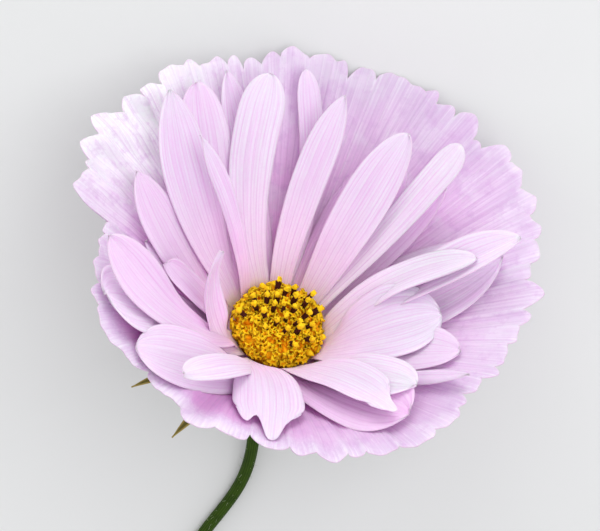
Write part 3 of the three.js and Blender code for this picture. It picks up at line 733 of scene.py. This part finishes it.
def cup_surface(rows=44):
    """The wall at azimuth a and share v of its reach: an arc of a circle, pushed outward by the
    roll, the waves and wrinkles (sines of the azimuth) and the pleats, and ribbed between the
    veins. The rows lie closer towards the rim."""
    azimuth, reach, arch = rim_line()
    a = np.radians(azimuth)
    v = 1 - (1 - np.linspace(0, 1, rows)[:, None]) ** 1.5
    wrinkled = around(azimuth, CRUMPLED_AZIMUTH, 36)
    ragged = 0.14 * np.sin(83 * a + 2 * np.sin(7 * a)) + 0.09 * np.sin(47 * a) * np.sin(19 * a + 1)
    reach = reach - 0.1 + ragged * v ** 4
    elevation_per_mm = (CUP_RISE_FOOT - CUP_RISE_RIM) / CUP_RISE_LENGTH
    elevation = CUP_RISE_FOOT - elevation_per_mm * reach * v
    radius = CUP_FOOT_RADIUS + (np.sin(CUP_RISE_FOOT) - np.sin(elevation)) / elevation_per_mm
    height = CUP_FOOT_HEIGHT + (np.cos(elevation) - np.cos(CUP_RISE_FOOT)) / elevation_per_mm
    rolled = around(azimuth, ROLL_MIDDLE, ROLL_HALF_WIDTH) + 0.35 * around(azimuth, 155, 35)
    roll = ROLL_DEPTH * rolled * np.clip((v - 0.7) / 0.3, 0, 1) ** 2
    fresh = 1 - 0.7 * around(azimuth, 218, 50)
    pleat = CUP_PLEAT * (0.6 - arch) * (1 + 0.5 * np.sin(5 * a + 1)) * v ** 2.5 * fresh
    waves = (0.30 * v * np.sin(8 * a + 0.7 + 2 * v) + 0.28 * v * np.sin(21 * a + 1.5 * v + np.sin(5 * a))
             + 0.14 * v ** 2 * np.sin(37 * a + 5 * v + 2 * np.sin(3 * a)))
    crumple = np.sin(61 * a + 9 * v) + 0.8 * np.sin(30 * v + 17 * a) + 0.6 * np.sin(97 * a - 14 * v)
    wrinkles = 0.34 * wrinkled * v ** 2 * crumple
    count = azimuth / 360 * CUP_VEINS
    ribs = 0.02 * smooth(v, 0.1, 0.4) * np.cos(2 * np.pi * count)
    out = roll - pleat + waves * (1 - 0.6 * smooth(v, 0.8, 1)) + wrinkles + ribs
    wall = on_axis(azimuth, radius + out * np.sin(elevation), height - out * np.cos(elevation))
    foot = [(RING_BORE, CUP_FLOOR), (CUP_FOOT_RADIUS - 1, CUP_FLOOR), (CUP_FOOT_RADIUS - 0.4, -2.1)]
    floor_rings = [on_axis(azimuth, r, h + 0 * azimuth) for r, h in foot]
    points = np.concatenate([floor_rings, wall])
    v_all = np.concatenate([np.zeros((3, 1)), v])
    to_margin = (1 - v_all) * CUP_RISE_LENGTH * np.ones_like(azimuth)
    thickness = lerp(0.2, 0.45, smooth(to_margin, 0, 1.0))
    lip = around(azimuth, LIP_AZIMUTH, 80)
    pale = 0.95 * around(azimuth, PALE_AZIMUTH, 50) * smooth(v_all, 0.45, 0.75)
    # A painted highlight: a pale band along the roll of the near lip.
    pale = pale + 0.3 * lip * smooth(v_all, 0.92, 0.98)
    # The right wall turns paler towards the rim.
    pale = pale + 0.2 * around(azimuth, RIGHT_AZIMUTH, 50) * smooth(v_all, 0.5, 0.8)
    # A little extra pink everywhere, and much more, darker pink on the near wall below the lip: painted
    # shade.
    tint = 0.06 + 0.7 * lip * (1 - smooth(v_all, 0.84, 0.95))
    count = np.append(count, count[0] + CUP_VEINS)
    return points, thickness, count + 0 * v_all, v_all + 0 * count, to_margin, tint, np.clip(pale, 0, 1)


points, thickness, count, along, to_margin, tint, pale = cup_surface()
both_faces = {"margin": to_margin, "tint": tint, "pale": pale}
both_faces = {key: np.tile(values.ravel(), 2) for key, values in both_faces.items()}
make_piece("cup", sheet(points, thickness, count, along, ring=True), cup_finish, ["outer_cup"],
           "outer_cup", **both_faces)
print("cup columns:", points.shape[1])

# %% [markdown]
# ## The disc
#
# The yellow middle is a crowd of tiny tubular florets on a dome. They open from the rim of the
# disc inward. One with its anthers out is a dark maroon tube with a round yellow head, one that
# has opened is a five-pointed star with curled lobes, and a bud is a short club. The anthers
# stand evenly on a spiral of their own, among the others. Each kind is one small shape, and all
# its copies are worked out in one step, with a seeded draw for lean and size.

# %% Disc finish
disc_finish = Finish("disc", Roughness=0.8, Specular_IOR_Level=0.2)
tone = disc_finish.attribute("tone")
dark = disc_finish.attribute("dark")
speckle = disc_finish.noise(2500)
# Low values give orange-brown: painted shade between the florets and in their throats.
yellow = disc_finish.ramp(tone + (speckle - 0.5) * 0.25, [
    (0.0, (1.0, 0.30, 0.0, 1)), (0.3, (1.0, 0.42, 0.0, 1)), (0.65, (1.0, 0.55, 0.003, 1)),
    (1.0, (1.0, 0.68, 0.01, 1))])
disc_finish.plug("Base Color", dark.blend(yellow, (0.055, 0.008, 0.005, 1)))
disc_finish.plug("Normal", disc_finish.bump(0.5, 0.0001, speckle))

# %% Florets
DISC_RADIUS = 6.95
DISC_SIDE_TOP = 0.7
DISC_DOME_TOP = 3.3
FLORETS = 200
ANTHER_FLORETS = 31
ANTHER_SHARE = 0.5
FLORET_BED = (6.5, 0.9, 2.4)
FLORET_REACH = math.radians(118)
FLORET_FAN = 0.72
ANTHER_FAN = 0.6
DOME_SHARE = 0.7
FLORET_LUMPS = 0.09
GOLDEN_ANGLE = 137.508
DOME_TONE = 0.6

# On one side the disc's edge holds only open florets: how far that way the others reach
OPEN_SIDE_AZIMUTH = 195
ANTHERS_UP_TO = 3.6
BUDS_UP_TO = 3.0


def circles(profile, sides, phase=0.0):
    """Rings of points about the axis from (radius, height) pairs."""
    angle = 2 * np.pi * (np.arange(sides) + phase) / sides
    radius, height = np.array(profile, float).T[:, :, None]
    return np.stack(np.broadcast_arrays(radius * np.cos(angle), radius * np.sin(angle), height), axis=-1)


# Each row is a ring of a floret: radius, height, yellowness, and 1 where it is dark. The
# yellowness is low at a floret's foot and in its throat, and so paints the orange-brown shade
# between the florets and inside them.
ANTHER_FLORET = np.array([
    [0.42, -1.0, 0.2, 0], [0.40, 0.5, 0.5, 0], [0.62, 0.85, 0.9, 0], [0.42, 0.8, 0.3, 0],
    [0.40, 0.8, 0, 1], [0.44, 2.6, 0, 1], [0.45, 2.65, 1, 0], [0.57, 2.85, 1, 0], [0.55, 3.2, 1, 0],
    [0.28, 3.35, 0.9, 0]])
OPEN_FLORET = np.array([
    [0.36, -1.0, 0.1, 0], [0.44, 0.6, 0.25, 0], [0.80, 1.3, 0.9, 0], [1.05, 1.15, 1.0, 0],
    [0.78, 1.6, 1.0, 0], [0.36, 1.35, 0.9, 0], [0.20, 0.8, 0.3, 0]])
BUD = np.array([
    [0.34, -1.0, 0.1, 0], [0.44, 0.5, 0.7, 0], [0.52, 1.1, 0.95, 0], [0.42, 1.5, 1.0, 0],
    [0.16, 1.68, 1.0, 0]])
LOBED_RINGS = slice(2, 5)
HEAD_RINGS = slice(7, 9)


def copies(rings, table, places, turns, sizes, lumps):
    """Every copy of a small shape: turn * (point * size) + place, for all points at once, and
    each point moved at random by about the size of the lumps."""
    vertices, faces, uv = tube(rings)
    made = np.einsum("nij,vj->nvi", turns, vertices) * sizes[:, None, None] + places[:, None, :]
    made = made + noise.normal(0, 1, made.shape) * lumps
    starts = np.arange(len(places))[:, None, None] * len(vertices)
    tone_dark = np.vstack([np.repeat(table[:, 2:], rings.shape[1], axis=0), table[[0, -1], 2:]])
    body = (made.reshape(-1, 3), [(part + starts).reshape(-1, part.shape[1]) for part in faces],
            np.concatenate([np.tile(uv[:faces[0].size], (len(places), 1)),
                            np.tile(uv[faces[0].size:], (len(places), 1))]))
    return body, np.tile(tone_dark, (len(places), 1))


noise = np.random.default_rng(5)
k = np.concatenate([np.arange(ANTHER_FLORETS), np.arange(FLORETS)])
of_anthers = np.arange(len(k)) < ANTHER_FLORETS
azimuth = GOLDEN_ANGLE * k % 360
share = (k + 0.5) / np.where(of_anthers, ANTHER_FLORETS / ANTHER_SHARE, FLORETS)
polar = np.where(share < DOME_SHARE, np.arcsin(np.sqrt(np.clip(share / DOME_SHARE, 0, 1))),
                 lerp(np.pi / 2, FLORET_REACH, (share - DOME_SHARE) / (1 - DOME_SHARE)))
bed_radius, bed_middle, bed_rise = FLORET_BED
radius = bed_radius * np.sin(polar)
places = on_axis(azimuth, radius, bed_middle + bed_rise * np.cos(polar))
this_way = np.cos(np.radians(azimuth - OPEN_SIDE_AZIMUTH)) * radius
draw = noise.uniform(0, 1, len(k))
with_anthers = of_anthers & (this_way < ANTHERS_UP_TO)
bud = ~of_anthers & (draw > 0.6) & (this_way < BUDS_UP_TO) & (polar > 1.2)
opened = ~of_anthers & ~bud
fan = polar * np.where(with_anthers, ANTHER_FAN, FLORET_FAN)
lean = np.where(opened, 0.32, 0.10)[:, None]
upward = unit(on_axis(azimuth, np.sin(fan), np.cos(fan)) + noise.normal(0, 1, (len(k), 3)) * lean)
first = unit(np.cross(upward, noise.normal(0, 1, (len(k), 3))))
turns = np.stack([first, np.cross(upward, first), upward], axis=-1)
among_anthers = opened & (this_way < ANTHERS_UP_TO) & (polar < 1.1)
sizes = noise.uniform(0.85, 1.15, len(k)) * np.where(among_anthers, 0.8, 1)

star = circles(OPEN_FLORET[:, :2], 10)
star[LOBED_RINGS, 1::2, :2] *= 0.45
pollen = circles(ANTHER_FLORET[:, :2], 8)
pollen[HEAD_RINGS, 1::2, :2] *= 0.62
kinds = [(pollen, ANTHER_FLORET, with_anthers), (star, OPEN_FLORET, opened),
         (circles(BUD[:, :2], 6), BUD, bud)]
bodies, tones = zip(*[copies(rings, table, places[kind], turns[kind], sizes[kind], FLORET_LUMPS)
                      for rings, table, kind in kinds])
dome_bend = np.linspace(0, np.pi / 2, 10)
dome_profile = [(DISC_RADIUS, DISC_UNDERSIDE)] + [
    (DISC_RADIUS * np.cos(b) + 0.01, lerp(DISC_SIDE_TOP, DISC_DOME_TOP, np.sin(b))) for b in dome_bend]
dome = tube(circles(dome_profile, 48))
tones = np.vstack([np.tile([DOME_TONE, 0], (len(dome[0]), 1)), *tones])
make_piece("disc", merged([dome, *bodies]), disc_finish, ["disc_florets"], "disc",
           tone=tones[:, 0], dark=tones[:, 1])
print("florets with anthers:", with_anthers.sum(), "open:", opened.sum(), "buds:", bud.sum())

# %% [markdown]
# ## The bracts
#
# Two rings of bracts hold the head. The inner eight are joined low down into a thin, brownish
# green cup with dark veins. The outer eight are narrow, keeled and fleshy, and spread out below
# it, with golden tips and edges.

# %% Bract finishes
bract_finish = Finish("inner_bract", Roughness=0.45, Subsurface_Weight=0.25,
                      Subsurface_Radius=(1.0, 0.8, 0.3), Subsurface_Scale=0.0008)
across, along = bract_finish.surface()
body = bract_finish.ramp(along + (bract_finish.noise(300) - 0.5) * 0.3, [
    (0.0, (0.10, 0.16, 0.03, 1)), (0.5, (0.30, 0.28, 0.09, 1)), (1.0, (0.48, 0.34, 0.16, 1))])
veins = across.line(1.0, 0.05, 0.2)
bract_finish.plug("Base Color", (veins * 0.7).blend(body, (0.07, 0.05, 0.02, 1)))
bract_finish.plug("Normal", bract_finish.bump(0.5, 0.0002, veins))

green_finish = Finish("green", Roughness=0.6, Specular_IOR_Level=0.15, Subsurface_Weight=0.1,
                      Subsurface_Radius=(0.5, 1.0, 0.2), Subsurface_Scale=0.0006)
across = green_finish.surface()[0]
tip = green_finish.attribute("tip")
mottle = green_finish.noise(500)
stripes = across.line(1.0, 0.1, 0.4)
leaf = (stripes * 0.6 + mottle.band(0.4, 0.7) * 0.3).blend(
    (0.040, 0.085, 0.003, 1), (0.012, 0.032, 0.001, 1))
golden = tip.blend(leaf, (0.42, 0.33, 0.09, 1))
green_finish.plug("Base Color", green_finish.attribute("hair").blend(golden, (0.50, 0.62, 0.36, 1)))
green_finish.plug("Normal", green_finish.bump(0.5, 0.0001, mottle - stripes))

# %% Bract surfaces
INNER_BRACT_LENGTH = 11
INNER_BRACT_RISE = math.radians(44)
INNER_BRACT_FLOOR = -3.2
INNER_BRACT_THICKNESS = 0.35
OUTER_BRACT_HALF_WIDTH = 1.75
OUTER_BRACT_TIP = 0.08
OUTER_BRACT_HEIGHT = -4.2
OUTER_BRACT_RING = 2
RING_EDGE = 0.3
BRACTS = 8

# Azimuth, length, and elevation at the root and at the tip
OUTER_BRACTS = [
    (22, 18, 0, 66), (68, 18, 0, 50), (115, 18, 0, 20), (160, 16.5, 0, 30),
    (203, 20.5, 0, -12), (227, 21, 2, -6), (283, 18, 0, 34), (335, 18, 0, 66)]


def inner_bract_surface(columns=320, rows=20):
    """A floor ring and a wall that rises from it. Its length follows the lobes, the cosine of
    four times the azimuth without its sign."""
    azimuth = np.linspace(0, 360, columns, endpoint=False)
    v = np.linspace(0, 1, rows)[:, None]
    lobe = np.abs(np.cos(np.radians(azimuth * BRACTS / 2))) ** 0.7
    length = INNER_BRACT_LENGTH * lerp(0.45, 1, lobe) * v
    bulge = 0.35 * np.sin(np.pi * v) * lobe
    wall = on_axis(azimuth, CUP_FOOT_RADIUS + 0.1 + length * np.cos(INNER_BRACT_RISE) + bulge,
                   INNER_BRACT_FLOOR + length * np.sin(INNER_BRACT_RISE) - bulge)
    ring = on_axis(azimuth, RING_BORE, INNER_BRACT_FLOOR + 0 * azimuth)
    v_all = np.concatenate([np.zeros((1, 1)), v])
    count = np.linspace(0, BRACTS * 9, columns + 1)
    return np.concatenate([ring[None], wall]), count + 0 * v_all, v_all + 0 * count


def outer_bract(azimuth, length, rise_root, rise_tip, rows=40, columns=13):
    """A narrow keeled blade. Its half width is w(1 - t^2.2), its elevation goes from root to tip
    with t^1.5, and its sides rise with the square of the offset."""
    t = np.linspace(0, 1, rows)[:, None]
    u = np.linspace(-1, 1, columns)[None, :]
    half_width = np.maximum(OUTER_BRACT_HALF_WIDTH * (1 - t ** 2.2), OUTER_BRACT_TIP * (1 + 0 * t))
    e = np.radians(lerp(rise_root, rise_tip, t ** 1.5))
    steps = np.concatenate([np.zeros((1, 1)), np.diff(t, axis=0)]) * length
    e_step = np.concatenate([e[:1], (e[1:] + e[:-1]) / 2])
    path = on_axis(azimuth, RING_BORE + 0.8 + np.cumsum(np.cos(e_step) * steps, axis=0),
                   OUTER_BRACT_HEIGHT + np.cumsum(np.sin(e_step) * steps, axis=0))
    keel = (0.45 * t * half_width * u ** 2 + 0.08 * np.cos(4 * np.pi * u) * (1 - t))[..., None]
    sideways_offset = on_axis(azimuth + 90, u * half_width, 0 * u)
    points = path + sideways_offset + on_axis(azimuth, -np.sin(e), np.cos(e)) * keel
    thickness = lerp(0.25, 0.55, 1 - u ** 2) * (1 - 0.4 * t)
    body = sheet(points, thickness, 2 * u + 0 * t, t + 0 * u)
    at_edge = 0.9 * smooth(np.abs(u), 0.4, 0.8)
    golden = np.maximum(lerp(0.3, 1, smooth(t, 0.9, 1)), at_edge) * smooth(t, 0.4, 0.8)
    return body, np.tile(golden.ravel(), 2)


points, count, along = inner_bract_surface()
make_piece("inner_bracts_fine", sheet(points, INNER_BRACT_THICKNESS, count, along, ring=True),
           bract_finish, ["inner_bracts"], "inner_bract")

blades, tips = zip(*[outer_bract(*sizes_of) for sizes_of in OUTER_BRACTS])
ring_outer = RING_BORE + OUTER_BRACT_RING
ring_section = [(ring_outer - RING_EDGE, -4.4), (ring_outer, -4.2), (ring_outer, -4.0),
                (ring_outer - RING_EDGE, -3.8), (RING_BORE, -3.8), (RING_BORE, -4.4)]
green_ring = circles(ring_section + ring_section[:1], 96)
# The section closes on itself, so the ring keeps the tube's quads and leaves out its end fans
vertices, (quads, fans), uv = tube(green_ring)
ring_body = (vertices[:green_ring.size // 3], [quads], uv[:quads.size])
tips = np.concatenate([*tips, np.zeros(len(ring_body[0]))])
make_piece("outer_bracts_fine", merged([*blades, ring_body]), green_finish, ["outer_bracts"],
           "green", tip=tips, hair=0.0)
print("outer bracts:", len(blades))

# %% [markdown]
# ## The stem
#
# A slender ribbed stem under a small swelling, the receptacle. It leaves the head along the
# axis, bends over and lies on the floor, with a slight sideways sway. It is made of rings along
# its middle line, as a hose would be, and is cut straight at its end.

# %% Stem
STEM_RADIUS = 1.1
STEM_TOP = -9
STEM_STRAIGHT = 56.9
STEM_SWAY = 3.5
STEM_END_SHIFT = -6
STEM_RIBS = 8
RECEPTACLE = [(4.3, -2), (4.3, -4.7), (5.2, -4.72), (5.3, -4.9), (5.2, -5.1), (3.6, -5.7), (2.6, -6.2),
              (1.9, -6.9), (1.5, -7.6), (1.25, -8.3)]


def stem_middle(count=150):
    """The stem's middle line: an arc from the axis down to the floor, and then level. The sway
    is a squared sine that runs over the first half of the length, stretched with a power of
    the share, and the far end drifts off with another power."""
    ground = -head[2]
    drop = STEM_TOP * math.cos(LEAN) - ground - STEM_RADIUS
    bend_radius = drop / (1 - math.sin(LEAN))
    bend_length = bend_radius * (math.pi / 2 - LEAN)
    s = np.linspace(0, bend_length + STEM_STRAIGHT, count)
    turned = np.minimum(s, bend_length) / bend_radius
    level = np.maximum(s - bend_length, 0)
    share = s / s[-1]
    x = STEM_SWAY * np.sin(np.pi * np.clip(share / 0.5, 0, 1) ** 1.3) ** 2
    x = x + STEM_END_SHIFT * np.clip((share - 0.3) / 0.7, 0, 1) ** 1.9
    y = bend_radius * (np.cos(turned) - 1) - level * math.cos(LEAN)
    z = STEM_TOP - bend_radius * np.sin(turned) - level * math.sin(LEAN)
    return np.stack([x, y, z], axis=-1)


middle_line = stem_middle()
receptacle_radius, receptacle_height = np.array(RECEPTACLE).T
receptacle_line = np.stack([0 * receptacle_height, 0 * receptacle_height, receptacle_height], axis=-1)
line = np.concatenate([receptacle_line, middle_line])[::-1]
radii = np.concatenate([receptacle_radius, np.full(len(middle_line), STEM_RADIUS)])[::-1, None]
tangent = unit(np.gradient(line, axis=0))
side = unit(np.array([1.0, 0, 0]) - tangent * tangent[:, :1])
over = np.cross(tangent, side)
angle = np.linspace(0, 2 * np.pi, 49)[None, :]
ribbed = radii - 0.04 * (1 - np.cos(STEM_RIBS * angle[:, :-1])) * smooth(4.3 - radii, 0, 2)
rings = line[:, None] + ribbed[..., None] * (
    np.cos(angle[:, :-1, None]) * side[:, None] + np.sin(angle[:, :-1, None]) * over[:, None])
turns_around = angle / (2 * np.pi) * STEM_RIBS * 2 + 0 * radii
stalk = tube(rings, turns_around, 0 * turns_around)

# %% [markdown]
# ## Hairs on the stem
#
# A few short pale hairs stand off the stem, but not off its underside, where it lies on the
# floor. Each is a cone with three sides, so that many of them stay cheap, and all are turned
# and placed in one step like the florets.

# %% Hairs on the stem
HAIRS = 260
HAIR = np.array([[0.035, -0.1, 1, 0], [0.025, 0.35, 1, 0], [0.006, 0.75, 1, 0]])
at = noise.integers(8, len(middle_line) - 12, HAIRS)
turned = noise.uniform(0, 2 * np.pi, (HAIRS, 1))
outward = np.cos(turned) * side[at] + np.sin(turned) * over[at]
above = outward @ upright[2] > -0.2
at, outward = at[above], outward[above]
grown = unit(outward + tangent[at] * noise.normal(0, 0.6, (len(at), 1)))
first = unit(np.cross(grown, tangent[at]))
hairs, hair_values = copies(
    circles(HAIR[:, :2], 3), HAIR, line[at] + outward * STEM_RADIUS,
    np.stack([first, np.cross(grown, first), grown], axis=-1), noise.uniform(0.6, 1.2, len(at)), 0.0)
hairy = np.concatenate([np.zeros(len(stalk[0])), hair_values[:, 0]])
make_piece("stem_fine", merged([stalk, hairs]), green_finish, ["stem"], "green", tip=0.0, hair=hairy)
print("hairs:", len(at))
print("stem length in mm:", round(float(np.linalg.norm(np.diff(middle_line, axis=0), axis=1).sum()), 1))

# %% Finish
sizes = {"cad": [list(corner) for corner in cad_box], "visual": [list(corner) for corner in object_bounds()]}
